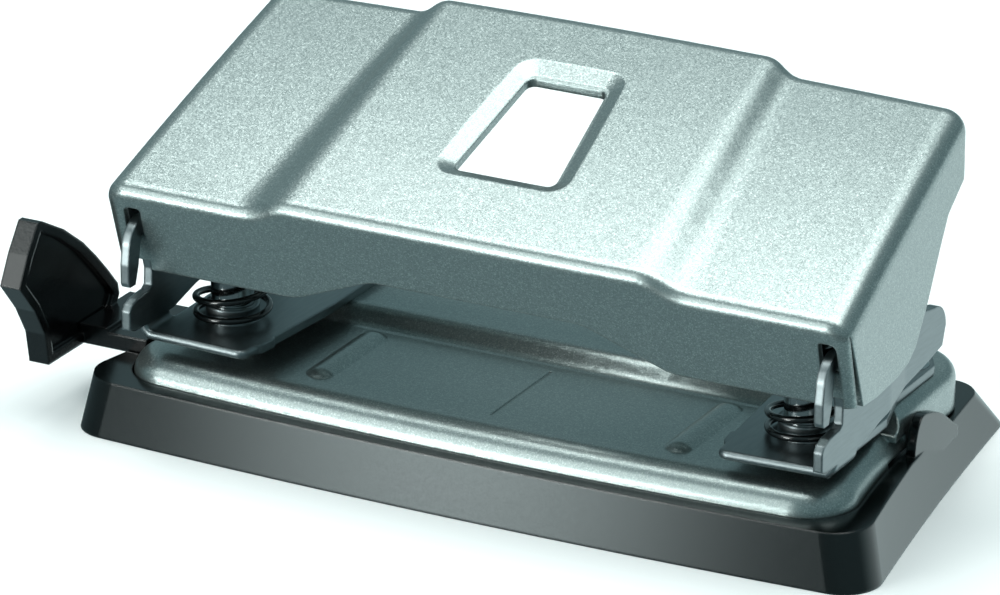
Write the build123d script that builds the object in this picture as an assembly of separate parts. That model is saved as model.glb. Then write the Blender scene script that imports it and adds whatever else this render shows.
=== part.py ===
from build123d import *
import os
from math import atan, cos, pi, sin, sqrt, tan

# Two-hole desk punch. Millimetres, +Z up, the desk at Z = 0.
# X runs along the row of the two holes, +Y is the rear, where the hand presses.
# The origin lies on the desk under the midpoint between the two punch pins.

os.makedirs("parts", exist_ok=True)

# Widths that the other pieces follow
cover_half = 51.4
tray_half_front = 56.4
tray_half_rear = 47.6
base_shift = 1.2
far = 95.0

# Punching geometry
hole_spacing = 80.0
punch_dia = 5.5
punch_gap = 0.05
paper_stop_y = 11.4
pin_y = 0.0

# Chip tray, moulded plastic
tray_waist = 0.6
tray_front_y = -15.05
tray_front_bow = 1.7
tray_rear_y = 45.4
tray_side_lean = 1.5
tray_front_lean = 0.85
tray_rear_lean = 5.8
tray_corner_r = 5.0
tray_rear_foot_r = 2.5
tray_rear_rim_r = 4.5
tray_rim_z = 7.4
tray_rear_rim_z = 6.3
tray_rim_fall_y = 11.0
tray_rim_low_y = 28.0
tray_wall = 1.5
tray_floor = 1.6
rim_ledge = 1.6
rim_gap = 0.3
clip_front_y = 13.2
clip_rear_y = 27.6
clip_profile = [
    (13.2, 7.2), (13.95, 10.3), (15.5, 11.85), (17.6, 11.6), (20.2, 10.75), (22.6, 9.5),
    (25.2, 7.7), (27.6, 6.2),
]
clip_foot_z = 4.8
clip_wall = 1.2
clip_gap = 0.35

# Base plate, pressed and painted sheet
plate_sheet = 1.0
plate_low_z = 10.5
plate_high_z = 12.6
plate_front_y = -11.9
plate_front_bow = 1.9
plate_rear_y = 36.8
plate_half_front = tray_half_front - 4.9
plate_half_mid = tray_half_front - 7.7
plate_half_rear = tray_half_rear - 0.8
plate_mid_y = 4.0
plate_fold_r = 3.4
plate_high_fold_r = 2.2
plate_front_corner_r = 6.5
plate_rear_corner_r = 7.5
plate_foot_gap = 0.3
skirt_over_rim = 0.3
skirt_cut_y = 9.0
skirt_cut_x = 32.0
riser_width = 3.6
rib_x = 25.0
rib_width = 3.8
rib_height = 0.8
rib_front_y = -4.0
rib_rear_y = 9.0
mark_width = 0.3
mark_depth = 0.15
mark_front_y = -5.9

# Brackets, folded from plated sheet
bracket_sheet = 1.2
guide_z = plate_high_z
bracket_front_y = -9.9
bracket_cheek_front_y = -9.2
bracket_foot_y = 33.0
foot_edge = 1.0
bracket_inner_front_x = 32.7
bracket_inner_rear_x = 31.0
bracket_inner_rear_y = 10.0
bracket_corner_r = 1.5
edge_round_r = 0.55
tab_front_y = -6.8
tab_rear_y = -3.3
tab_out = 0.35
cheek_inset = 3.0
cheek_x = cover_half - cheek_inset
cheek_rear_x = cheek_x - 0.9
cheek_front_y = -13.05
cheek_low_z = 14.6
cheek_joggle_y = 6.0
cheek_joggle_len = 6.0
fold_end_y = -3.5
fold_r = 2.0
cheek_top_r = 2.85
cheek_ear_y = 20.2
cheek_ear_z = 21.0
cheek_ear_r = 3.4
collar_height = 2.1
collar_wall = 0.65
rivet_dia = 3.0
rivet_head_dia = 5.2
rivet_head = 1.1
rivet_inner_x = 35.2
rivet_outer_x = 41.6
rivet_y = 26.0
rivet_gap = 0.05

# Lever cover, pressed and painted sheet, hinged on the cheeks at the front
sheet = 1.0
crease_y = -12.2
crease_z = 33.4
zone_step = 2.1
top_slope = 0.4195
top_bend = 0.0009
flange_lean = 0.29
cover_taper = 0.07
cover_shift = 0.5
zone_shift = 0.8
cover_rear_y = 28.9
cover_rear_bow = 1.6
cover_foot_z = 10.0
cover_corner_r = 3.0
crease_r = 1.8
rear_crease_r = 2.0
step_out_front = 31.5
step_out_rear = 26.9
step_in_front = 23.3
step_in_rear = 21.8
step_rear_y = 27.0
flange_end_z = 21.95
flange_arch_z = 26.65
arch_half_low = 26.0
arch_half_high = 14.6
arch_r = 7.0
notch_play_in = 0.6
notch_play_out = 0.6
notch_inner_x = cheek_x - bracket_sheet - notch_play_in
notch_outer_x = cheek_x + notch_play_out
notch_top_z = 30.85
bar_bottom_z = 23.3
hinge_z = 26.4
hinge_gap = 0.08
window_front_y = -0.5
window_rear_y = 16.9
window_front_half = 7.1
window_rear_half = 5.5
window_r = 1.2
bezel_front_y = -3.1
bezel_rear_y = 20.2
bezel_front_half = 10.2
bezel_rear_half = 8.2
bezel_r = 3.2
bezel_depth = 0.9
rear_lip_z = 41.6
wall_corner_z = 31.4
wall_edge = [
    (-6.4, 21.7), (-2.0, 21.2), (4.8, 21.15), (8.6, 21.7), (11.0, 22.9),
    (14.2, 26.6), (18.6, 33.0), (21.2, 36.5), (26.4, 39.3), (27.9, rear_lip_z), (29.5, far),
]
press_angle = 27.0

# Pins, springs and pressers
pin_tip_z = guide_z + 0.1
tip_notch = 0.9
wire_dia = 0.9
spring_outer_dia = 10.2
closed_pitch = 1.42
active_pitch = 3.5
active_turns = 2
seat_gap = 0.03
washer_dia = 10.4
washer_height = 0.8
ring_dia = 8.0
ring_height = 0.8
ring_groove = 0.55
pin_above_ring = 1.0
presser_gap = 0.3
presser_r = 3.0
presser_sheet = 1.2
presser_half_len = 5.0
presser_foot = 3.6
weld_gap = 0.05

# Paper guide, moulded plastic
head_face_x = 60.6
head_thick = 2.9
rail_bottom_z = 7.2
rail_top_z = 9.3
root_top_z = 9.84
root_front_y = -2.5
rail_front_y = 3.9
rail_rear_y = 9.8
root_inner_x = 51.3
root_outer_x = 57.0
rail_end_x = 38.0
rail_gap = 0.25
stop_lug = 0.7
stop_len = 1.5
keeper_outer_x = -42.8
keeper_inner_x = 4.0
keeper_length = 6.0
keeper_sheet = 0.8
head_outline = [
    (-11.7, 26.9), (-6.6, 24.1), (-2.1, 20.8), (0.9, 18.0), (3.7, 15.1), (6.1, 12.4),
    (6.4, 10.9), (5.3, 9.0), (2.9, rail_bottom_z), (-10.95, rail_bottom_z),
    (-11.7, 11.55), (-13.9, 15.45), (-17.3, 19.6), (-15.2, 23.4), (-12.6, 26.9),
]
head_rim = 1.3
head_dish = 0.7


def along_x(face_yz, left, right):
    return extrude(Plane.YZ.offset(left) * face_yz, right - left)


def along_y(face_xz, front, rear):
    return extrude(Plane.XZ.offset(-rear) * face_xz, rear - front)


def along_z(face_xy, bottom, top):
    return extrude(Plane.XY.offset(bottom) * face_xy, top - bottom)


def outline(points, radii=0):
    if radii == 0:
        return make_face(Polyline(*points, close=True))
    return make_face(FilletPolyline(*points, radius=radii, close=True))


def rod(x, y, low, high, dia):
    return Pos(x, y, (low + high) / 2) * Cylinder(dia / 2, high - low)


def box_between(low, high):
    size = [b - a for a, b in zip(low, high)]
    middle = [(a + b) / 2 for a, b in zip(low, high)]
    return Pos(*middle) * Box(*size)


def mirrored(shape):
    return mirror(shape, about=Plane.YZ)


def save(name, shape):
    shape.label = name
    export_step(shape, "parts/" + name + ".step")


# Chip tray

def tray_outline(inset_side, inset_front, inset_rear, front_r, rear_r):
    front = tray_front_y + inset_front
    corner_y = front + tray_front_bow
    rear = tray_rear_y - inset_rear
    half_front = tray_half_front - inset_side
    half_rear = tray_half_rear - inset_side
    waist_y = (corner_y + rear) / 2
    waist = (half_front + half_rear) / 2 - tray_waist
    edges = Curve() + [
        ThreePointArc((-half_front, corner_y), (0, front), (half_front, corner_y)),
        ThreePointArc((half_front, corner_y), (waist, waist_y), (half_rear, rear)),
        Line((half_rear, rear), (-half_rear, rear)),
        ThreePointArc((-half_rear, rear), (-waist, waist_y), (-half_front, corner_y)),
    ]
    face = make_face(edges)
    front_corners = face.vertices().sort_by(Axis.Y)[:2]
    face = fillet(front_corners, front_r)
    rear_corners = face.vertices().sort_by(Axis.Y)[-2:]
    return fillet(rear_corners, rear_r)


def tray_block(wall, bottom, top):
    def level(z):
        part = z / tray_rim_z
        return Plane.XY.offset(z) * tray_outline(
            wall + tray_side_lean * part,
            wall + tray_front_lean * part,
            wall + tray_rear_lean * part,
            tray_corner_r - wall * 0.6,
            tray_rear_foot_r + (tray_rear_rim_r - tray_rear_foot_r) * part - wall * 0.6,
        )
    return loft([level(bottom), level(top)])


def plate_half(y):
    if y < plate_mid_y:
        part = (plate_mid_y - y) / (plate_mid_y - plate_front_y)
        return plate_half_mid + (plate_half_front - plate_half_mid) * part ** 1.4
    part = (y - plate_mid_y) / (plate_rear_y - plate_mid_y)
    return plate_half_mid + (plate_half_rear - plate_half_mid) * part


def make_tray():
    above = tray_rim_z + 8
    shell = tray_block(0, 0, tray_rim_z + 2) - tray_block(tray_wall, tray_floor, tray_rim_z + 2)
    over_rim = outline([
        (tray_front_y - 5, tray_rim_z), (tray_rim_fall_y, tray_rim_z),
        (tray_rim_low_y, tray_rear_rim_z), (tray_rear_y + 5, tray_rear_rim_z),
        (tray_rear_y + 5, above), (tray_front_y - 5, above),
    ])
    ledge = tray_block(0.1, tray_rear_rim_z - rim_ledge, tray_rim_z + 2)
    ledge -= along_z(plate_outline(-rim_gap, plate_front_corner_r + rim_gap, plate_rear_corner_r + rim_gap), 0, above)
    shell += ledge
    shell -= along_x(over_rim, -tray_half_front - 5, tray_half_front + 5)
    clip_side = make_face(Curve() + [
        Spline(*clip_profile),
        Polyline(clip_profile[-1], (clip_rear_y, clip_foot_z), (clip_front_y, clip_foot_z), clip_profile[0]),
    ])
    inner_front = plate_half(clip_front_y - 2) + clip_gap
    inner_rear = plate_half(clip_rear_y) + clip_gap
    clip_plan = outline([
        (inner_front, clip_front_y - 2), (inner_front + clip_wall, clip_front_y - 2),
        (inner_rear + clip_wall, clip_rear_y + 1), (inner_rear, clip_rear_y + 1),
    ])
    clip = along_x(clip_side, inner_rear - 2, tray_half_front) & along_z(clip_plan, 0, above)
    bridge = box_between(
        (inner_rear, clip_front_y - 1.2, tray_rear_rim_z - 3.2),
        (tray_half_front, clip_rear_y, tray_rear_rim_z - 0.3))
    bridge &= tray_block(tray_wall * 0.4, 0, tray_rim_z + 2)
    bridge -= along_z(outline([
        (0, clip_front_y - 9), (inner_front + 0.01, clip_front_y - 9), (inner_front + 0.01, clip_front_y - 2),
        (inner_rear + 0.01, clip_rear_y + 1), (0, clip_rear_y + 1),
    ]), 0, above)
    tab = clip + bridge
    shell = shell + tab + mirrored(tab)
    rail_slot = box_between(
        (-tray_half_front - 2, root_front_y - 0.3, rail_bottom_z - 0.3),
        (-tray_half_rear, rail_rear_y + 0.4, above))
    return Pos(-base_shift, 0, 0) * (shell - rail_slot)


# Base plate

def plate_outline(inset, front_r, rear_r):
    front = plate_front_y + inset
    corner_y = front + plate_front_bow
    half_front = plate_half_front - inset
    half_mid = plate_half_mid - inset
    half_rear = plate_half_rear - inset
    rear = plate_rear_y - inset
    right = Spline(
        (half_front, corner_y), (half_mid, plate_mid_y), (half_rear, rear),
        tangents=[(-0.28, 1), (-0.02, 1)],
    )
    left = Spline(
        (-half_rear, rear), (-half_mid, plate_mid_y), (-half_front, corner_y),
        tangents=[(-0.02, -1), (-0.28, -1)],
    )
    edges = Curve() + [
        ThreePointArc((-half_front, corner_y), (0, front), (half_front, corner_y)),
        right,
        Line((half_rear, rear), (-half_rear, rear)),
        left,
    ]
    face = make_face(edges)
    face = fillet(face.vertices().sort_by(Axis.Y)[:2], front_r)
    return fillet(face.vertices().sort_by(Axis.Y)[-2:], rear_r)


def plate_level(inset, bottom, top, fold_r):
    face = plate_outline(inset, plate_front_corner_r - inset, plate_rear_corner_r - inset)
    block = along_z(face, bottom, top - inset)
    return fillet(block.faces().sort_by(Axis.Z)[-1].edges(), fold_r - inset)


def riser_sweep(inset):
    # S-shaped front of the raised zone, from the low level to the high level
    y0 = paper_stop_y + inset
    y1 = y0 + riser_width
    z0 = plate_low_z - inset
    z1 = plate_high_z - inset
    ym = (y0 + y1) / 2
    curve = Curve() + [
        Bezier((y0, z0), (ym, z0), (ym, z1), (y1, z1)),
        Line((y1, z1), (y1, z0 - 1)),
        Line((y1, z0 - 1), (y0, z0 - 1)),
        Line((y0, z0 - 1), (y0, z0)),
    ]
    return make_face(curve), y1


def make_plate():
    bottom = tray_floor + plate_foot_gap
    bodies = []
    for inset, low_end in ((0.0, bottom), (plate_sheet, bottom - 1)):
        low = plate_level(inset, low_end, plate_low_z, plate_fold_r)
        high = plate_level(inset, low_end, plate_high_z, plate_high_fold_r)
        ramp_face, ramp_end = riser_sweep(inset)
        reach = plate_half(ramp_end) - inset
        keep = along_x(ramp_face, -reach - 3, reach + 3)
        keep += box_between((-90, ramp_end, 0), (90, 90, 30))
        high &= keep
        bodies.append(low + high)
    shell = Pos(-base_shift, 0, 0) * (bodies[0] - bodies[1])
    r = (rib_width ** 2 / 4 + rib_height ** 2) / (2 * rib_height)
    for side in (-1, 1):
        for radius, sign in ((r, 1), (r - plate_sheet, -1)):
            z = plate_low_z + rib_height - r
            bead = Pos(side * rib_x, (rib_front_y + rib_rear_y) / 2, z) * Rot(90, 0, 0) * Cylinder(
                radius, rib_rear_y - rib_front_y)
            bead += Pos(side * rib_x, rib_front_y, z) * Sphere(radius)
            bead += Pos(side * rib_x, rib_rear_y, z) * Sphere(radius)
            if sign > 0:
                shell += bead & box_between((-90, -90, plate_low_z - plate_sheet), (90, 90, 90))
            else:
                shell -= bead & box_between((-90, -90, 0), (90, 90, plate_low_z - plate_sheet + rib_height))
    shell -= box_between(
        (-mark_width / 2, mark_front_y, plate_low_z - mark_depth),
        (mark_width / 2, paper_stop_y - 1.5, plate_low_z + 1))
    for side in (-1, 1):
        x = side * hole_spacing / 2
        shell -= rod(x, pin_y, 0, plate_low_z + 1, punch_dia + 2 * punch_gap)
        for rivet_x in (rivet_inner_x, rivet_outer_x):
            shell -= rod(side * rivet_x, rivet_y, plate_low_z, plate_high_z + 1, rivet_dia + 2 * rivet_gap)
    shell -= box_between(
        (-plate_half_front - base_shift - 2, root_front_y - 0.3, rail_bottom_z - 0.3),
        (-plate_half_rear - base_shift + plate_fold_r, rail_rear_y + stop_lug + 0.3, root_top_z - 0.44))
    low = tray_rear_rim_z + skirt_over_rim
    over_rim = along_x(outline([
        (skirt_cut_y, -5), (skirt_cut_y, tray_rim_z + skirt_over_rim),
        (tray_rim_fall_y, tray_rim_z + skirt_over_rim), (tray_rim_low_y, low), (70, low), (70, -5),
    ]), skirt_cut_x, 70)
    return shell - over_rim - mirrored(over_rim)


# Brackets

def flange_y(z):
    return crease_y + 0.15 + flange_lean * (crease_z + 0.1 - z)


lean_angle = atan(flange_lean)
sheet_along_y = sheet / cos(lean_angle)
hinge_y = flange_y(hinge_z) + sheet_along_y / 2
bar_r = sheet / 2


def bar_edge(z, side, turn):
    # Y of one face of the hinge bar at height z, with the lever turned by some degrees
    angle = lean_angle - turn * pi / 180
    return hinge_y + tan(angle) * (hinge_z - z) + side * bar_r / cos(angle)


def cheek_face():
    slot_r = bar_r + hinge_gap
    rear_low = 21.6
    front_low = 22.9
    gap = hinge_gap / cos(lean_angle)
    lines = Curve() + [
        Polyline(
            (hinge_y + slot_r, hinge_z),
            (bar_edge(rear_low, 1, 0) + gap, rear_low),
            (-7.55, 20.4),
            (-7.6, 19.4),
            (-8.3, 18.95),
            (-9.5, 18.9),
            (-11.2, 18.75),
            (-12.5, 18.3),
            (cheek_front_y, 17.6),
            (cheek_front_y, cheek_low_z + 0.5),
            (cheek_front_y + 1.0, cheek_low_z + 0.1),
            (bracket_cheek_front_y - 0.6, cheek_low_z),
            (fold_end_y + 1.0, cheek_low_z),
            (3.0, 15.9),
            (cheek_ear_y - 1.5, cheek_ear_z - cheek_ear_r + 0.25),
            (cheek_ear_y + cheek_ear_r - 0.9, cheek_ear_z - cheek_ear_r + 1.0),
            (cheek_ear_y + cheek_ear_r, cheek_ear_z),
        ),
        ThreePointArc(
            (cheek_ear_y + cheek_ear_r, cheek_ear_z),
            (cheek_ear_y + cheek_ear_r * 0.78, cheek_ear_z + cheek_ear_r * 0.63),
            (cheek_ear_y, cheek_ear_z + cheek_ear_r),
        ),
        Polyline(
            (cheek_ear_y, cheek_ear_z + cheek_ear_r),
            (hinge_y + 9.0, hinge_z + cheek_top_r - 1.0),
            (hinge_y, hinge_z + cheek_top_r),
        ),
        ThreePointArc(
            (hinge_y, hinge_z + cheek_top_r),
            (hinge_y - cheek_top_r * 0.80, hinge_z + cheek_top_r * 0.60),
            (hinge_y - cheek_top_r - 0.45, hinge_z - 0.6),
        ),
        Polyline(
            (hinge_y - cheek_top_r - 0.45, hinge_z - 0.6),
            (-13.1, 23.8),
            (-13.1, 21.3),
            (-12.8, 20.8),
            (-11.5, 20.8),
            (bar_edge(front_low, -1, press_angle) - 0.12, front_low),
            (hinge_y - slot_r, hinge_z),
        ),
        ThreePointArc(
            (hinge_y - slot_r, hinge_z),
            (hinge_y, hinge_z + slot_r),
            (hinge_y + slot_r, hinge_z),
        ),
    ]
    return make_face(lines)


def make_bracket():
    guide_top = guide_z + bracket_sheet
    inner_x = cheek_x - bracket_sheet
    foot_half = plate_half_rear - base_shift - foot_edge
    lean = (bracket_inner_front_x - bracket_inner_rear_x) / (bracket_inner_rear_y - bracket_front_y)
    tab_front_x = bracket_inner_front_x - lean * (tab_front_y - bracket_front_y)
    tab_rear_x = bracket_inner_front_x - lean * (tab_rear_y - bracket_front_y)
    points = [
        (bracket_inner_front_x, bracket_front_y), (inner_x + 0.01, bracket_cheek_front_y),
        (inner_x + 0.01, fold_end_y), (inner_x - 0.6, fold_end_y + 0.6), (inner_x - 0.6, 9.0),
        (foot_half, 16.0), (foot_half, bracket_foot_y - 6), (foot_half - 3.5, bracket_foot_y),
        (bracket_inner_rear_x + 2.5, bracket_foot_y), (bracket_inner_rear_x, bracket_foot_y - 2.5),
        (bracket_inner_rear_x, bracket_inner_rear_y), (tab_rear_x, tab_rear_y),
        (tab_rear_x - tab_out, tab_rear_y - 0.5), (tab_front_x - tab_out, tab_front_y + 0.5),
        (tab_front_x, tab_front_y),
    ]
    plan = outline(points, [bracket_corner_r] + [0] * (len(points) - 1))
    plate = along_z(plan, guide_z, guide_top)
    front = [e for e in plate.edges()
             if e.center().Y < bracket_cheek_front_y + 0.6 and abs(e.tangent_at(0.5).Z) < 0.1]
    plate = fillet(front, edge_round_r)
    elbow = outline([
        (inner_x - 1.0, guide_z), (cheek_x, guide_z), (cheek_x, guide_z + 2.6),
        (inner_x, guide_z + 2.6), (inner_x, guide_top), (inner_x - 1.0, guide_top),
    ], [0, fold_r, 0, 0, fold_r - bracket_sheet, 0])
    fold = along_y(elbow, bracket_cheek_front_y, fold_end_y)
    front_face = fold.faces().sort_by(Axis.Y)[0]
    round_edges = [e for e in front_face.edges()
                   if inner_x - 0.9 < e.center().X and e.center().Z < guide_z + 2.5]
    plate += fillet(round_edges, edge_round_r)
    cheek_plan = outline([
        (cheek_x, cheek_front_y - 2), (cheek_x, cheek_joggle_y),
        (cheek_rear_x, cheek_joggle_y + cheek_joggle_len), (cheek_rear_x, 40),
        (cheek_rear_x - bracket_sheet, 40), (cheek_rear_x - bracket_sheet, cheek_joggle_y + cheek_joggle_len),
        (cheek_x - bracket_sheet, cheek_joggle_y), (cheek_x - bracket_sheet, cheek_front_y - 2),
    ], [0, 6, 6, 0, 0, 6, 6, 0])
    cheek = along_x(cheek_face(), 40, 55) & along_z(cheek_plan, 5, 40)
    pin_x = hole_spacing / 2
    collar_dia = punch_dia + 2 * (punch_gap + collar_wall)
    body = plate + cheek + rod(pin_x, pin_y, guide_z, guide_top + collar_height, collar_dia)
    body -= rod(pin_x, pin_y, 0, 30, punch_dia + 2 * punch_gap)
    for x in (rivet_inner_x, rivet_outer_x):
        body -= rod(x, rivet_y, 5, 30, rivet_dia + 2 * rivet_gap)
    return body


def make_rivets():
    group = []
    for x in (rivet_inner_x, rivet_outer_x):
        top = plate_high_z + bracket_sheet
        under = plate_high_z - plate_sheet
        dome_r = (rivet_head_dia ** 2 / 4 + rivet_head ** 2) / (2 * rivet_head)
        dome = Pos(x, rivet_y, top + rivet_head - dome_r) * Sphere(dome_r)
        dome &= box_between((x - 9, rivet_y - 9, top), (x + 9, rivet_y + 9, top + 9))
        shank = rod(x, rivet_y, under - rivet_head * 0.7, top, rivet_dia)
        tail = rod(x, rivet_y, under - rivet_head * 0.7, under, rivet_head_dia - 0.6)
        group.append(dome + shank + tail)
    return group


# Lever cover

def rise(y):
    back = y - crease_y
    return top_slope * back - top_bend * back * back


def step_place(y, at_front, at_rear):
    return at_front + (at_rear - at_front) * (y - crease_y) / (step_rear_y - crease_y)


def cover_section(y, inset, drop):
    half = cover_half - cover_taper * (y - crease_y) - inset
    low = crease_z + rise(y) - drop
    high = low + zone_step
    r = cover_corner_r - inset
    out_x = step_place(y, step_out_front, step_out_rear)
    in_x = step_place(y, step_in_front, step_in_rear)
    mid_x = (out_x + in_x) / 2
    place = Plane(origin=(0, y, 0), x_dir=(1, 0, 0), z_dir=(0, -1, 0))

    def at(x, z):
        return place.from_local_coords(Vector(x, z, 0))

    def zone(x, z):
        return at(x - zone_shift, z)

    return Wire([
        Edge.make_line(at(-half, cover_foot_z), at(half, cover_foot_z)),
        Edge.make_line(at(half, cover_foot_z), at(half, low - r)),
        Edge.make_tangent_arc(at(half, low - r), Vector(0, 0, 1), at(half - r, low)),
        Edge.make_line(at(half - r, low), zone(out_x, low)),
        Edge.make_bezier(zone(out_x, low), zone(mid_x, low), zone(mid_x, high), zone(in_x, high)),
        Edge.make_line(zone(in_x, high), zone(-in_x, high)),
        Edge.make_bezier(zone(-in_x, high), zone(-mid_x, high), zone(-mid_x, low), zone(-out_x, low)),
        Edge.make_line(zone(-out_x, low), at(-half + r, low)),
        Edge.make_tangent_arc(at(-half + r, low), Vector(-1, 0, 0), at(-half, low - r)),
        Edge.make_line(at(-half, low - r), at(-half, cover_foot_z)),
    ])


def cover_rear_face(rear):
    reach = cover_half + 8.6
    return Curve() + [
        Polyline((reach, rear - cover_rear_bow), (reach, -far), (-reach, -far), (-reach, rear - cover_rear_bow)),
        ThreePointArc((-reach, rear - cover_rear_bow), (0, rear), (reach, rear - cover_rear_bow)),
    ]


def lies_on_flange(point, setback):
    return abs(point.Y - flange_y(point.Z) - setback) < 0.02 and point.Z > cover_foot_z + 5


def cover_block(inset, rounded=True):
    drop = inset * sqrt(1 + top_slope ** 2)
    setback = inset / cos(lean_angle)
    rear = cover_rear_y - inset
    start_y = crease_y - 5.8
    step_y = (cover_rear_y + 2.1 - start_y) / 3
    body = Solid.make_loft([cover_section(start_y + step_y * k, inset, drop) for k in range(4)])
    side = outline([(flange_y(far) + setback, far), (flange_y(0) + setback, 0), (far, 0), (far, far)])
    body &= along_x(side, -far, far)
    body &= along_z(make_face(cover_rear_face(rear)), 0, far)
    if not rounded:
        return body
    front = [e for e in body.edges()
             if all(lies_on_flange(e.position_at(t), setback) for t in (0.0, 0.5, 1.0))]
    body = fillet(front, crease_r - inset)
    back = [e for e in body.edges()
            if all(e.position_at(t).Y > rear - 2.2 and e.position_at(t).Z > cover_foot_z + 5 for t in (0.0, 0.5, 1.0))]
    return fillet(back, rear_crease_r - inset)


def window_plane():
    middle = (window_front_y + window_rear_y) / 2
    gradient = top_slope - 2 * top_bend * (middle - crease_y)
    height = crease_z + zone_step + rise(middle)
    length = sqrt(1 + gradient ** 2)
    return Plane(origin=(-zone_shift, middle, height), x_dir=(1, 0, 0),
                 z_dir=(0, -gradient / length, 1 / length)), length, middle


def trapezoid(front_y, rear_y, front_half, rear_half, radius, stretch, middle):
    low = (front_y - middle) * stretch
    high = (rear_y - middle) * stretch
    return outline([(-front_half, low), (front_half, low), (rear_half, high), (-rear_half, high)], radius)


def bezel_funnel(inset):
    # The sheet is drawn in round the window: a shallow funnel, deeper by one sheet on the inside
    place, stretch, middle = window_plane()
    spread = inset * 0.8

    def ring(depth, part):
        return place.offset(-depth) * trapezoid(
            bezel_front_y + (window_front_y - bezel_front_y) * part - spread,
            bezel_rear_y + (window_rear_y - bezel_rear_y) * part + spread,
            bezel_front_half + (window_front_half - bezel_front_half) * part + spread,
            bezel_rear_half + (window_rear_half - bezel_rear_half) * part + spread,
            bezel_r + (window_r - bezel_r) * part, stretch, middle)

    return loft([ring(inset - 0.9, -0.45), ring(inset + bezel_depth, 0.92)])


def end_wall_keep():
    back = sheet_along_y + 0.2
    high = wall_corner_z + 0.6
    profile = outline([
        (-far, far), (-far, high), (flange_y(high) + back, high), (flange_y(wall_corner_z) + back, wall_corner_z),
    ] + wall_edge)
    return along_x(profile, -far, far)


def make_cover():
    outer = cover_block(0) - bezel_funnel(0)
    inner = cover_block(sheet) - bezel_funnel(sheet)
    shell = outer - inner
    shell -= box_between((-far, -far, 0), (far, far, flange_end_z - 2))
    place, stretch, middle = window_plane()
    hole = trapezoid(window_front_y, window_rear_y, window_front_half, window_rear_half, window_r, 1, middle)
    shell -= Pos(-zone_shift, middle, 0) * along_z(hole, flange_end_z, far)
    shell = Pos(-cover_shift, 0, 0) * shell
    arch = outline([
        (-far, 0), (far, 0), (far, flange_end_z), (arch_half_low, flange_end_z),
        (arch_half_high, flange_arch_z), (-arch_half_high, flange_arch_z),
        (-arch_half_low, flange_end_z), (-far, flange_end_z),
    ], [0, 0, 0, arch_r, arch_r, arch_r, arch_r, 0])
    behind_flange = flange_y(flange_end_z - 2) + sheet_along_y + 0.1
    shell -= along_y(arch, -far, behind_flange)
    high = crease_z + 2.6
    low = flange_end_z - 6
    slab = outline([
        (flange_y(high) - 0.5, high), (flange_y(low) - 0.5, low),
        (flange_y(low) + sheet_along_y, low), (flange_y(high) + sheet_along_y, high),
    ])
    flange_slab = along_x(slab, -far, far)
    inner_x = notch_inner_x + 0.1
    ends = box_between((-far, -far, low), (far, far, far)) - box_between((-inner_x, -far, 0), (inner_x, far, far + 1))
    shell -= ends - end_wall_keep() - flange_slab
    shell -= box_between((-inner_x - 0.1, step_rear_y - 3, 0), (inner_x + 0.1, far, rear_lip_z))
    for side in (-1, 1):
        notch = outline([
            (notch_inner_x, low), (notch_outer_x, low),
            (notch_outer_x, notch_top_z), (notch_inner_x, notch_top_z),
        ], [0, 0, 0.9, 0.5])
        cut = along_y(notch, -far, behind_flange)
        shell -= cut if side > 0 else mirrored(cut)
    bar_top = hinge_z
    bar = outline([
        (flange_y(bar_top), bar_top), (flange_y(bar_bottom_z), bar_bottom_z),
        (flange_y(bar_bottom_z) + sheet_along_y, bar_bottom_z), (flange_y(bar_top) + sheet_along_y, bar_top),
    ])
    strip = along_x(bar, notch_inner_x - 0.3, notch_outer_x + 0.3)
    strip += Pos((notch_inner_x + notch_outer_x) / 2, hinge_y, hinge_z) * Rot(0, 90, 0) * Cylinder(
        bar_r, notch_outer_x - notch_inner_x + 0.6)
    return shell + strip + mirrored(strip)


# Pins, springs and pressers

guide_top = guide_z + bracket_sheet
coil_r = (spring_outer_dia - wire_dia) / 2
coil_start_z = guide_top + wire_dia / 2 + seat_gap
coil_rise = 2 * closed_pitch + active_turns * active_pitch
spring_top = coil_start_z + coil_rise + wire_dia / 2
washer_z = spring_top + seat_gap
ring_z = washer_z + washer_height
pin_top = ring_z + ring_height + pin_above_ring
groove_r = punch_dia / 2 - ring_groove


def coil_height(turn):
    total = 2 + active_turns
    if turn < 1:
        return closed_pitch * turn
    if turn < total - 1:
        return closed_pitch + active_pitch * (turn - 1)
    return closed_pitch + active_pitch * active_turns + closed_pitch * (turn - total + 1)


def biarc(start, start_dir, end, end_dir):
    gap = end - start
    both = start_dir + end_dir
    a = 2 * (1 - start_dir.dot(end_dir))
    b = 2 * gap.dot(both)
    c = -gap.dot(gap)
    reach = (-b + sqrt(b * b - 4 * a * c)) / (2 * a)
    first = start + start_dir * reach
    last = end - end_dir * reach
    joint = (first + last) * 0.5
    return [
        Edge.make_tangent_arc(start, start_dir, joint),
        Edge.make_tangent_arc(joint, (last - first).normalized(), end),
    ]


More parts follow.
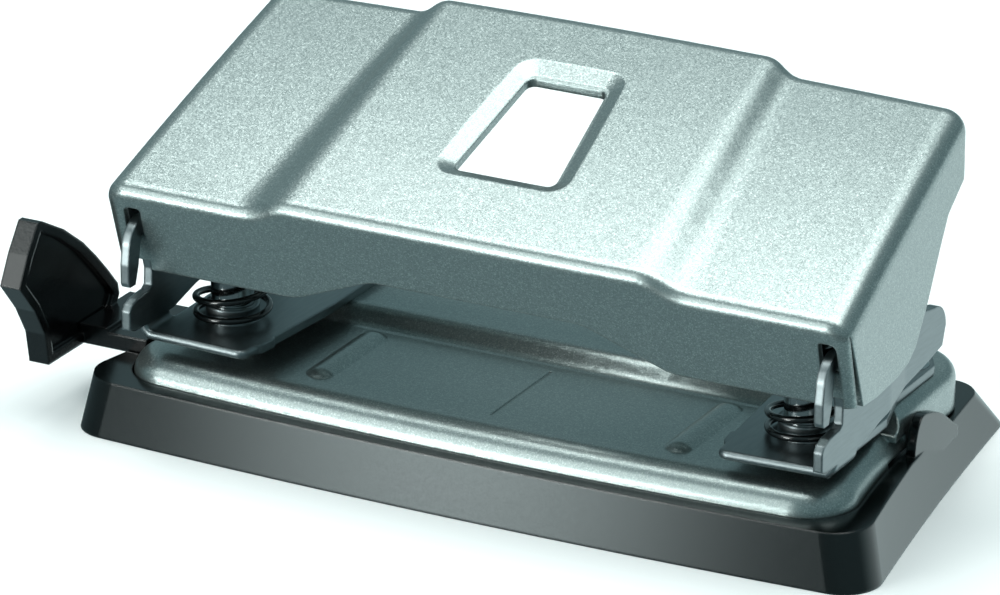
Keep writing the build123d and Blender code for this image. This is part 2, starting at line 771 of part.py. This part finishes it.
def make_spring(x, start_turn):
    turns = 2 + active_turns
    steps = turns * 4
    points = []
    dirs = []
    for k in range(steps + 1):
        turn = k / 4
        angle = 2 * pi * (turn + start_turn)
        points.append(Vector(x + coil_r * cos(angle), pin_y + coil_r * sin(angle), coil_start_z + coil_height(turn)))
        step = 0.25
        before = coil_height(max(turn - step, 0))
        after = coil_height(min(turn + step, turns))
        climb = (after - before) / (2 * step * 2 * pi)
        if k in (0, steps):
            climb = 0
        dirs.append(Vector(-coil_r * sin(angle), coil_r * cos(angle), climb).normalized())
    edges = [Edge.make_line(points[0] - dirs[0] * wire_dia, points[0])]
    for k in range(steps):
        edges += biarc(points[k], dirs[k], points[k + 1], dirs[k + 1])
    edges.append(Edge.make_line(points[-1], points[-1] + dirs[-1] * wire_dia))
    path = Wire(edges)
    begin = edges[0].position_at(0)
    section = Plane(origin=begin, z_dir=dirs[0]) * Circle(wire_dia / 2)
    tube = sweep(section, path=path)
    samples = [path.position_at(i / 600) for i in range(601)]
    apart = int(600 / turns * 0.5)
    least = min(
        (samples[i] - samples[j]).length
        for i in range(0, 601, 2) for j in range(i + apart, 601, 2)
    )
    print("spring at x", x, "least gap between turns", round(least - wire_dia, 3),
          "volume against section times length", round(tube.volume / (section.area * path.length), 4))
    return tube


def make_pin(x):
    body = rod(x, pin_y, pin_tip_z, pin_top, punch_dia)
    crown = body.faces().sort_by(Axis.Z)[-1].edges()
    body = chamfer(crown, 0.4)
    half = punch_dia / 2 + 0.2
    vee = outline([
        (x - half, pin_tip_z - 1), (x - half, pin_tip_z), (x, pin_tip_z + tip_notch),
        (x + half, pin_tip_z), (x + half, pin_tip_z - 1),
    ])
    body -= along_y(vee, pin_y - half, pin_y + half)
    groove = rod(x, pin_y, ring_z, ring_z + ring_height, punch_dia + 2)
    groove -= rod(x, pin_y, ring_z, ring_z + ring_height, 2 * groove_r)
    return body - groove


def make_washer(x):
    disc = rod(x, pin_y, washer_z, washer_z + washer_height, washer_dia)
    return disc - rod(x, pin_y, washer_z - 1, washer_z + washer_height + 1, punch_dia + 2 * punch_gap)


def make_ring(x):
    low = ring_z + seat_gap
    high = ring_z + ring_height - seat_gap
    disc = rod(x, pin_y, low, high, ring_dia)
    disc -= rod(x, pin_y, low - 1, high + 1, 2 * (groove_r + seat_gap))
    mouth = box_between((x - 1.6, pin_y - ring_dia, low - 1), (x + 1.6, pin_y, high + 1))
    return disc - mouth


def make_presser(x):
    # Hat-shaped strip welded under the cover, its rounded bottom over the pin
    nose_z = pin_top + presser_gap + presser_r
    reach = presser_r + presser_foot
    liner = cover_block(sheet + weld_gap, rounded=False)
    under = cover_block(sheet + weld_gap + presser_sheet, rounded=False)
    outer = outline([(pin_y - presser_r, far), (pin_y - presser_r, nose_z - presser_r),
                     (pin_y + presser_r, nose_z - presser_r), (pin_y + presser_r, far)],
                    [0, presser_r - 0.01, presser_r - 0.01, 0])
    thin = presser_r - presser_sheet
    inner = outline([(pin_y - thin, far), (pin_y - thin, nose_z - thin),
                     (pin_y + thin, nose_z - thin), (pin_y + thin, far)],
                    [0, thin - 0.01, thin - 0.01, 0])
    left = x - presser_half_len
    right = x + presser_half_len
    channel = along_x(outer, left, right) - along_x(inner, left, right)
    feet = box_between((left, pin_y - reach, nose_z), (right, pin_y - thin, far))
    feet += box_between((left, pin_y + thin, nose_z), (right, pin_y + reach, far))
    return (channel & liner) + ((liner - under) & feet)


# Paper guide

def make_guide():
    head_side = outline(head_outline)
    outer_x = -head_face_x - head_thick
    head = along_x(head_side, outer_x, -head_face_x)
    dish_side = offset(head_side, -head_rim)
    head -= along_x(dish_side, -head_face_x - head_dish, -head_face_x + 1)
    root = box_between((-head_face_x - 0.5, root_front_y, rail_bottom_z), (-root_outer_x, rail_rear_y, root_top_z))
    neck = box_between((-root_outer_x - 0.5, root_front_y, rail_bottom_z), (-root_inner_x, rail_rear_y, rail_top_z))
    rail = box_between((-root_inner_x - 0.5, rail_front_y, rail_bottom_z), (rail_end_x, rail_rear_y, rail_top_z))
    lug = box_between((rail_end_x - stop_len, rail_rear_y - 0.5, rail_bottom_z),
                      (rail_end_x, rail_rear_y + stop_lug, rail_top_z))
    return head + root + neck + rail + lug


def make_keeper(left, right, rear_room):
    top = plate_low_z - plate_sheet
    inside_front = rail_front_y - rail_gap
    inside_rear = rail_rear_y + rail_gap + rear_room
    floor = rail_bottom_z - rail_gap
    strap = outline([
        (inside_front - keeper_sheet, top), (inside_front - keeper_sheet, floor - keeper_sheet),
        (inside_rear + keeper_sheet, floor - keeper_sheet), (inside_rear + keeper_sheet, top),
        (inside_rear, top), (inside_rear, floor), (inside_front, floor), (inside_front, top),
    ], [0, 0.9, 0.9, 0, 0, 0.2, 0.2, 0])
    return along_x(strap, left, right)


save("base_tray", make_tray())
save("base_plate", make_plate())
bracket = make_bracket()
save("bracket_right", bracket)
save("bracket_left", mirrored(bracket))
rivets = make_rivets()
save("bracket_rivets_right", Compound(children=rivets))
save("bracket_rivets_left", Compound(children=[mirrored(r) for r in rivets]))
save("lever_cover", make_cover())
pin_x = hole_spacing / 2
save("punch_pin_right", make_pin(pin_x))
save("punch_pin_left", make_pin(-pin_x))
save("return_spring_right", make_spring(pin_x, 0.30))
save("return_spring_left", make_spring(-pin_x, 0.30))
for side_name, side_x in (("right", pin_x), ("left", -pin_x)):
    save("spring_washer_" + side_name, make_washer(side_x))
    save("retaining_ring_" + side_name, make_ring(side_x))
presser = make_presser(pin_x)
save("presser_right", presser)
save("presser_left", mirrored(presser))
save("paper_guide", make_guide())
save("guide_keeper_outer", make_keeper(keeper_outer_x, keeper_outer_x + keeper_length, 0))
save("guide_keeper_inner", make_keeper(keeper_inner_x, keeper_inner_x + keeper_length, stop_lug))
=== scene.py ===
import math
import bmesh
import bpy
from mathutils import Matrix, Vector


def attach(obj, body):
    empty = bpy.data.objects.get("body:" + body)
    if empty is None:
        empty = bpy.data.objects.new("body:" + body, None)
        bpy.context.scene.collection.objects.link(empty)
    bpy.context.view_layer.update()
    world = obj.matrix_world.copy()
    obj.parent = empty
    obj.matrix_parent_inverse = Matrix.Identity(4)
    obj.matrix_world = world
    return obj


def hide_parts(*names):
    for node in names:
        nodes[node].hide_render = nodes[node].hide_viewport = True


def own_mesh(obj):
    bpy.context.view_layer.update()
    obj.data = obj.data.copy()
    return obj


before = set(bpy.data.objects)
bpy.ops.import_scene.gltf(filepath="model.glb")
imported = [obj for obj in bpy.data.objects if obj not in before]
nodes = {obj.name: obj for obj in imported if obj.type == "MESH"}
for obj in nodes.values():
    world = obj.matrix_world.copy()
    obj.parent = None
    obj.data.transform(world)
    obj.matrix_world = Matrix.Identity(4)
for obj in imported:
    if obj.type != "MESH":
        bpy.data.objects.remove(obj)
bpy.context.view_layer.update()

mm = 0.001

# The camera stands where the photograph was taken from
camera = {
    "azimuth": 28.14,
    "elevation": 21.72,
    "target": (-1.9 * mm, 0.0, 23.55 * mm),
    "distance": 839.3 * mm,
    "sensor": 36.0,
    "lens": 245.9,
}
camData = bpy.data.cameras.new("photoCamera")
camData.sensor_width = camera["sensor"]
camData.lens = camera["lens"]
camData.clip_start = 0.05
camData.clip_end = 20.0
camObject = bpy.data.objects.new("photoCamera", camData)
bpy.context.scene.collection.objects.link(camObject)
turn = math.radians(camera["azimuth"])
lift = math.radians(camera["elevation"])
backward = Vector((math.sin(turn) * math.cos(lift), -math.cos(turn) * math.cos(lift), math.sin(lift)))
camObject.location = Vector(camera["target"]) + backward * camera["distance"]
camObject.rotation_mode = "QUATERNION"
camObject.rotation_quaternion = (-backward).to_track_quat("-Z", "Y")
bpy.context.scene.camera = camObject
bpy.context.scene.view_settings.view_transform = "Standard"
print("camera placed")


def toLinear(hexText):
    parts = [int(hexText[i:i + 2], 16) / 255 for i in (1, 3, 5)]
    return tuple(c / 12.92 if c <= 0.04045 else ((c + 0.055) / 1.055) ** 2.4 for c in parts) + (1.0,)


def addNode(owner, kind, inputs=None, **settings):
    node = owner.node_tree.nodes.new(kind)
    for name, value in settings.items():
        setattr(node, name, value)
    for socket, value in (inputs or {}).items():
        if isinstance(value, bpy.types.NodeSocket):
            owner.node_tree.links.new(value, node.inputs[socket])
        else:
            node.inputs[socket].default_value = value
    return node


def newMaterial(name, values):
    material = bpy.data.materials.new(name)
    material.use_nodes = True
    shader = material.node_tree.nodes["Principled BSDF"]
    for socket, value in values.items():
        shader.inputs[socket].default_value = value
    return material, shader


def setRamp(node, stops):
    ramp = node.color_ramp
    while len(ramp.elements) < len(stops):
        ramp.elements.new(0.5)
    for element, (position, colour) in zip(ramp.elements, stops):
        element.position = position
        element.color = toLinear(colour)


# Silver lacquer with aluminium flakes, sprayed on pressed sheet: fine glitter in a soft sheen
silverLacquer = {
    "flake": 0.14 * mm,
    "tilt": 0.075,
    "roughness": 0.33,
    "metallic": 0.9,
    "coat": 0.25,
    "coatRoughness": 0.12,
    "edge": 0.45 * mm,
    "shades": [(0.0, "#838d8c"), (0.4, "#8d9796"), (0.85, "#97a09f"), (0.97, "#a9b2b1")],
}


def makeSilverLacquer():
    values = silverLacquer
    material, shader = newMaterial("silverFlakeLacquer", {
        "Metallic": values["metallic"],
        "Roughness": values["roughness"],
        "Coat Weight": values["coat"],
        "Coat Roughness": values["coatRoughness"],
    })
    coords = addNode(material, "ShaderNodeTexCoord")
    flakes = addNode(material, "ShaderNodeTexVoronoi", {
        "Vector": coords.outputs["Object"], "Scale": 1 / values["flake"]}, feature="F1")
    centred = addNode(material, "ShaderNodeVectorMath", {
        0: flakes.outputs["Color"], 1: (0.5, 0.5, 0.5)}, operation="SUBTRACT")
    tilted = addNode(material, "ShaderNodeVectorMath", {
        0: centred.outputs["Vector"], "Scale": values["tilt"]}, operation="SCALE")
    rounded = addNode(material, "ShaderNodeBevel", {"Radius": values["edge"]}, samples=6)
    summed = addNode(material, "ShaderNodeVectorMath", {
        0: rounded.outputs["Normal"], 1: tilted.outputs["Vector"]}, operation="ADD")
    normal = addNode(material, "ShaderNodeVectorMath", {0: summed.outputs["Vector"]}, operation="NORMALIZE")
    split = addNode(material, "ShaderNodeSeparateColor", {"Color": flakes.outputs["Color"]})
    shade = addNode(material, "ShaderNodeValToRGB", {"Fac": split.outputs["Red"]})
    setRamp(shade, values["shades"])
    material.node_tree.links.new(shade.outputs["Color"], shader.inputs["Base Color"])
    material.node_tree.links.new(normal.outputs["Vector"], shader.inputs["Normal"])
    return material


# Zinc plated steel sheet, bent after plating: dark satin reflections with a faint rolled grain
platedSheet = {
    "shades": [(0.3, "#7d8486"), (0.7, "#878e90")],
    "grain": 0.35 * mm,
    "grainStretch": (1.0, 0.12, 1.0),
    "bump": 0.02,
    "bumpDepth": 0.05 * mm,
    "edge": 0.45 * mm,
    "roughness": (0.33, 0.40),
}


def makePlatedSheet():
    values = platedSheet
    material, shader = newMaterial("zincPlatedSteel", {"Metallic": 1.0})
    coords = addNode(material, "ShaderNodeTexCoord")
    stretch = addNode(material, "ShaderNodeMapping", {
        "Vector": coords.outputs["Object"], "Scale": values["grainStretch"]})
    grain = addNode(material, "ShaderNodeTexNoise", {
        "Vector": stretch.outputs["Vector"], "Scale": 1 / values["grain"], "Detail": 3.0})
    colour = addNode(material, "ShaderNodeValToRGB", {"Fac": grain.outputs["Fac"]})
    setRamp(colour, values["shades"])
    rough = addNode(material, "ShaderNodeMapRange", {
        "Value": grain.outputs["Fac"], "To Min": values["roughness"][0], "To Max": values["roughness"][1]})
    rounded = addNode(material, "ShaderNodeBevel", {"Radius": values["edge"]}, samples=6)
    bump = addNode(material, "ShaderNodeBump", {
        "Height": grain.outputs["Fac"], "Strength": values["bump"], "Distance": values["bumpDepth"],
        "Normal": rounded.outputs["Normal"]})
    links = material.node_tree.links
    links.new(colour.outputs["Color"], shader.inputs["Base Color"])
    links.new(rough.outputs["Result"], shader.inputs["Roughness"])
    links.new(bump.outputs["Normal"], shader.inputs["Normal"])
    return material


# Ground tool steel of the pins and washers, and the plated steel of the rivets
steelLook = {
    "patch": 0.4 * mm,
    "darker": 0.9,
    "roughnessSpread": 0.2,
}


def makeSteel(name, colour, roughness, edge):
    material, shader = newMaterial(name, {"Metallic": 1.0})
    coords = addNode(material, "ShaderNodeTexCoord")
    lines = addNode(material, "ShaderNodeTexNoise", {
        "Vector": coords.outputs["Object"], "Scale": 1 / steelLook["patch"], "Detail": 2.0})
    light = toLinear(colour)
    dark = tuple(c * steelLook["darker"] for c in light[:3]) + (1.0,)
    shade = addNode(material, "ShaderNodeMixRGB", {
        "Fac": lines.outputs["Fac"], "Color1": light, "Color2": dark})
    rough = addNode(material, "ShaderNodeMapRange", {
        "Value": lines.outputs["Fac"],
        "To Min": roughness * (1 - steelLook["roughnessSpread"]),
        "To Max": roughness * (1 + steelLook["roughnessSpread"])})
    rounded = addNode(material, "ShaderNodeBevel", {"Radius": edge}, samples=4)
    links = material.node_tree.links
    links.new(shade.outputs["Color"], shader.inputs["Base Color"])
    links.new(rough.outputs["Result"], shader.inputs["Roughness"])
    links.new(rounded.outputs["Normal"], shader.inputs["Normal"])
    return material


# Polystyrene and ABS, moulded black: the mould's fine spark-eroded grain breaks up a soft gloss
plasticLook = {
    "ior": 1.53,
    "specular": 0.55,
    "roughnessSpread": 0.1,
    "edge": 0.4 * mm,
    "bumpDepth": 0.05 * mm,
}


def makePlastic(name, colour, speck, roughness, grain, strength):
    material, shader = newMaterial(name, {
        "IOR": plasticLook["ior"], "Specular IOR Level": plasticLook["specular"]})
    coords = addNode(material, "ShaderNodeTexCoord")
    fine = addNode(material, "ShaderNodeTexVoronoi", {
        "Vector": coords.outputs["Object"], "Scale": 1 / grain}, feature="F1")
    split = addNode(material, "ShaderNodeSeparateColor", {"Color": fine.outputs["Color"]})
    shade = addNode(material, "ShaderNodeValToRGB", {"Fac": split.outputs["Red"]})
    setRamp(shade, [(0.0, colour), (0.8, colour), (1.0, speck)])
    rough = addNode(material, "ShaderNodeMapRange", {
        "Value": split.outputs["Green"],
        "To Min": roughness * (1 - plasticLook["roughnessSpread"]),
        "To Max": roughness * (1 + plasticLook["roughnessSpread"])})
    rounded = addNode(material, "ShaderNodeBevel", {"Radius": plasticLook["edge"]}, samples=4)
    bump = addNode(material, "ShaderNodeBump", {
        "Height": fine.outputs["Distance"], "Strength": strength, "Distance": plasticLook["bumpDepth"],
        "Normal": rounded.outputs["Normal"]})
    links = material.node_tree.links
    links.new(shade.outputs["Color"], shader.inputs["Base Color"])
    links.new(rough.outputs["Result"], shader.inputs["Roughness"])
    links.new(bump.outputs["Normal"], shader.inputs["Normal"])
    return material


lacquer = makeSilverLacquer()
plated = makePlatedSheet()
groundSteel = makeSteel("groundToolSteel", "#b9bdbe", 0.12, 0.1 * mm)
rivetSteel = makeSteel("platedRivetSteel", "#a6abad", 0.22, 0.15 * mm)
trayPlastic = makePlastic("mouldedTrayPolystyrene", "#040707", "#070a0a", 0.17, 0.16 * mm, 0.01)
guidePlastic = makePlastic("mouldedGuideAbs", "#040405", "#08090a", 0.2, 0.35 * mm, 0.1)


# Spring wire with a black phosphate finish under oil: near mirror black
springWire = {
    "colour": "#060707",
    "specular": 0.5,
    "coat": 0.3,
    "coatRoughness": 0.06,
    "draw": 0.3 * mm,
    "roughness": (0.12, 0.22),
}


def makeSpringBlack():
    values = springWire
    material, shader = newMaterial("oiledBlackSpringWire", {
        "Base Color": toLinear(values["colour"]), "Specular IOR Level": values["specular"],
        "Coat Weight": values["coat"], "Coat Roughness": values["coatRoughness"]})
    coords = addNode(material, "ShaderNodeTexCoord")
    draw = addNode(material, "ShaderNodeTexNoise", {
        "Vector": coords.outputs["Object"], "Scale": 1 / values["draw"], "Detail": 2.0})
    rough = addNode(material, "ShaderNodeMapRange", {
        "Value": draw.outputs["Fac"], "To Min": values["roughness"][0], "To Max": values["roughness"][1]})
    material.node_tree.links.new(rough.outputs["Result"], shader.inputs["Roughness"])
    return material


springBlack = makeSpringBlack()
print("materials made")

finishes = {
    "lever_cover": lacquer,
    "base_plate": lacquer,
    "base_tray": trayPlastic,
    "paper_guide": guidePlastic,
    "bracket_left": plated,
    "bracket_right": plated,
    "bracket_rivets_left": rivetSteel,
    "bracket_rivets_right": rivetSteel,
    "punch_pin_left": groundSteel,
    "punch_pin_right": groundSteel,
    "spring_washer_left": groundSteel,
    "spring_washer_right": groundSteel,
    "retaining_ring_left": springBlack,
    "retaining_ring_right": springBlack,
    "return_spring_left": springBlack,
    "return_spring_right": springBlack,
    "presser_left": plated,
    "presser_right": plated,
    "guide_keeper_outer": plated,
    "guide_keeper_inner": plated,
}
for nodeName, finish in finishes.items():
    data = nodes[nodeName].data
    data.materials.clear()
    data.materials.append(finish)
print("frame nodes dressed")


# Return springs: smooth-shaded copies of the coils, attached to the frame body; in the real punch they
# close up as the pin goes down
springs = {
    "seat": 13.8 * mm,
    "height": 10.77 * mm,
    "stroke": 4.8 * mm,
    "bodies": "frame",
}


def makeSpring(side):
    source = nodes["return_spring_" + side]
    mesh = source.data.copy()
    shape = bmesh.new()
    shape.from_mesh(mesh)
    bmesh.ops.remove_doubles(shape, verts=shape.verts, dist=1e-6)
    for face in shape.faces:
        face.smooth = True
    shape.to_mesh(mesh)
    shape.free()
    piece = bpy.data.objects.new("coilSpring_" + side, mesh)
    bpy.context.scene.collection.objects.link(piece)
    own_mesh(piece)
    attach(piece, springs["bodies"])
    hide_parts("return_spring_" + side)


for side in ("left", "right"):
    makeSpring(side)
print("springs made")

# Studio: pale floor, a wide soft light overhead, two in front on the left, a dim room around,
# a glow at the rear right and a small bright one low in front on the left
studio = {
    "floor": "#f4f4f4",
    "floorSize": 6.0,
    "floorDrop": 0.05 * mm,
    "tint": (0.95, 1.0, 0.975),
    "glowTowards": (0.42, 0.82, -0.38),
    "room": [
        (0.0, "#768f93"), (0.2, "#768f93"), (0.34, "#445255"),
        (0.55, "#698387"), (0.7, "#738d91"), (1.0, "#7b9195"),
    ],
    "glow": [(0.0, "#000000"), (0.7, "#000000"), (0.85, "#9fb4b4"), (1.0, "#d8e8e8")],
    "gate": [(0.0, "#ffffff"), (0.47, "#ffffff"), (0.53, "#000000")],
    "lowTowards": (-0.44, -0.88, -0.17),
    "lowSpread": (0.9915, 0.9995),
    "lowPeak": 7.5,
    "lowTint": (0.84, 1.0, 1.0),
    "glowStrength": 1.3,
    "lights": [
        # name, place, aim, size x, size y, power
        ("overhead", (-0.05, 0.04, 0.80), (-0.05, 0.04, 0.0), 0.85, 0.56, 7.9),
        ("frontLeft", (-0.50, -0.78, 0.52), (0.0, 0.0, 0.03), 0.6, 0.45, 2.4),
        ("frontLow", (-0.46, -0.92, 0.09), (0.0, 0.0, 0.0), 0.3, 0.14, 4.0),
    ],
}
bpy.ops.mesh.primitive_plane_add(
    size=studio["floorSize"], location=(0.0, 0.0, -studio["floorDrop"]))
floor = bpy.context.active_object
floor.name = "studioFloor"
floor.visible_glossy = False
floorMaterial, floorShader = newMaterial("paleMattePaper", {
    "Base Color": toLinear(studio["floor"]), "Roughness": 0.9, "Specular IOR Level": 0.1})
floor.data.materials.append(floorMaterial)
world = bpy.data.worlds.new("softRoom")
world.use_nodes = True
backdrop = world.node_tree.nodes["Background"]
backdrop.inputs["Strength"].default_value = studio["glowStrength"]
direction = addNode(world, "ShaderNodeTexCoord").outputs["Generated"]
towards = addNode(world, "ShaderNodeVectorMath", {
    0: direction, 1: studio["glowTowards"]}, operation="DOT_PRODUCT")
part = addNode(world, "ShaderNodeMapRange", {
    "Value": towards.outputs["Value"], "From Min": -1.0, "From Max": 1.0})
height = addNode(world, "ShaderNodeMapRange", {
    "Value": addNode(world, "ShaderNodeSeparateXYZ", {"Vector": direction}).outputs["Z"],
    "From Min": -1.0, "From Max": 1.0})
room = addNode(world, "ShaderNodeValToRGB", {"Fac": height.outputs["Result"]})
setRamp(room, studio["room"])
gate = addNode(world, "ShaderNodeValToRGB", {"Fac": height.outputs["Result"]})
setRamp(gate, studio["gate"])
glow = addNode(world, "ShaderNodeValToRGB", {"Fac": part.outputs["Result"]})
setRamp(glow, studio["glow"])
below = addNode(world, "ShaderNodeMixRGB", {
    "Fac": 1.0, "Color1": glow.outputs["Color"], "Color2": gate.outputs["Color"]}, blend_type="MULTIPLY")
whole = addNode(world, "ShaderNodeMixRGB", {
    "Fac": 1.0, "Color1": room.outputs["Color"], "Color2": below.outputs["Color"]}, blend_type="ADD")
lowTowards = addNode(world, "ShaderNodeVectorMath", {
    0: direction, 1: studio["lowTowards"]}, operation="DOT_PRODUCT")
lowPart = addNode(world, "ShaderNodeMapRange", {
    "Value": lowTowards.outputs["Value"], "From Min": studio["lowSpread"][0],
    "From Max": studio["lowSpread"][1], "To Max": studio["lowPeak"]})
lowGlow = addNode(world, "ShaderNodeVectorMath", {
    0: studio["lowTint"], "Scale": lowPart.outputs["Result"]}, operation="SCALE")
summed = addNode(world, "ShaderNodeMixRGB", {
    "Fac": 1.0, "Color1": whole.outputs["Color"], "Color2": lowGlow.outputs["Vector"]}, blend_type="ADD")
world.node_tree.links.new(summed.outputs["Color"], backdrop.inputs["Color"])
bpy.context.scene.world = world
for name, place, aim, sizeX, sizeY, power in studio["lights"]:
    lamp = bpy.data.lights.new(name, "AREA")
    lamp.shape = "RECTANGLE"
    lamp.size = sizeX
    lamp.size_y = sizeY
    lamp.energy = power
    lamp.color = studio["tint"]
    lampObject = bpy.data.objects.new(name, lamp)
    bpy.context.scene.collection.objects.link(lampObject)
    lampObject.location = place
    lampObject.rotation_mode = "QUATERNION"
    lampObject.rotation_quaternion = (Vector(aim) - Vector(place)).to_track_quat("-Z", "Y")
print("studio lit")
